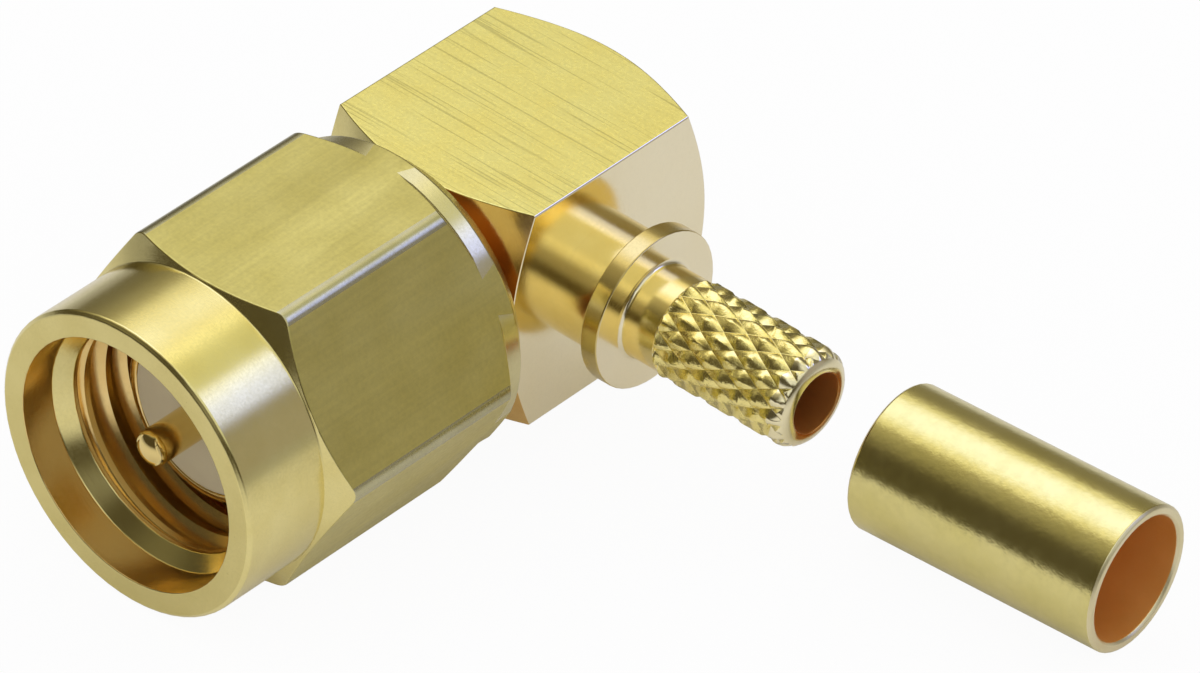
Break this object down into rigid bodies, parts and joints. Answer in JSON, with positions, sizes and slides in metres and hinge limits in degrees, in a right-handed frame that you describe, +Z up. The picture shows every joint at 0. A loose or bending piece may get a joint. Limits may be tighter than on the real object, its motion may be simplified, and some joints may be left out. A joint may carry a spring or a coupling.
{
  "type": "right-angle sma crimp plug",
  "caption": "Gold-plated right-angle coaxial plug with a free-turning hexagonal coupling nut, a centre pin, a knurled crimp spigot and a loose crimp ferrule.",
  "frame": {"origin": "centre of the interface's reference plane, on the axis of the centre pin", "axes": "-Y is the mating direction, along the pin and out of the nut's mouth; +X runs along the crimp spigot, out of its cable bore; +Z is up from the flat of the nut that the plug lies on"},
  "size_m": [0.0224, 0.0168, 0.008],
  "materials": {
    "nut_gold": "gold plated, turned and milled",
    "body_gold": "gold plated, drawn flats with fine lines",
    "spigot_gold": "gold plated, bright",
    "ferrule_gold": "gold plated, satin",
    "contact_gold": "gold plated, bright",
    "spring_bronze": "bare spring bronze",
    "ptfe": "waxy white",
    "silicone": "matte"
  },
  "bodies": {
    "plug_body": {"angle_body": "body_gold", "front_insulator": "ptfe", "centre_contact": "contact_gold", "retaining_ring": "spring_bronze", "gasket": "silicone", "rear_insulator": "ptfe", "rear_cap": "body_gold", "crimp_spigot": "spigot_gold", "crimp_ferrule": "ferrule_gold"},
    "nut": {"coupling_nut": "nut_gold"}
  },
  "joints": [
    {"name": "nut_spin", "type": "hinge", "parent": "plug_body", "child": "nut", "pos_m": [0, 0, 0], "axis": [0, 1, 0], "continuous": true}
  ]
}
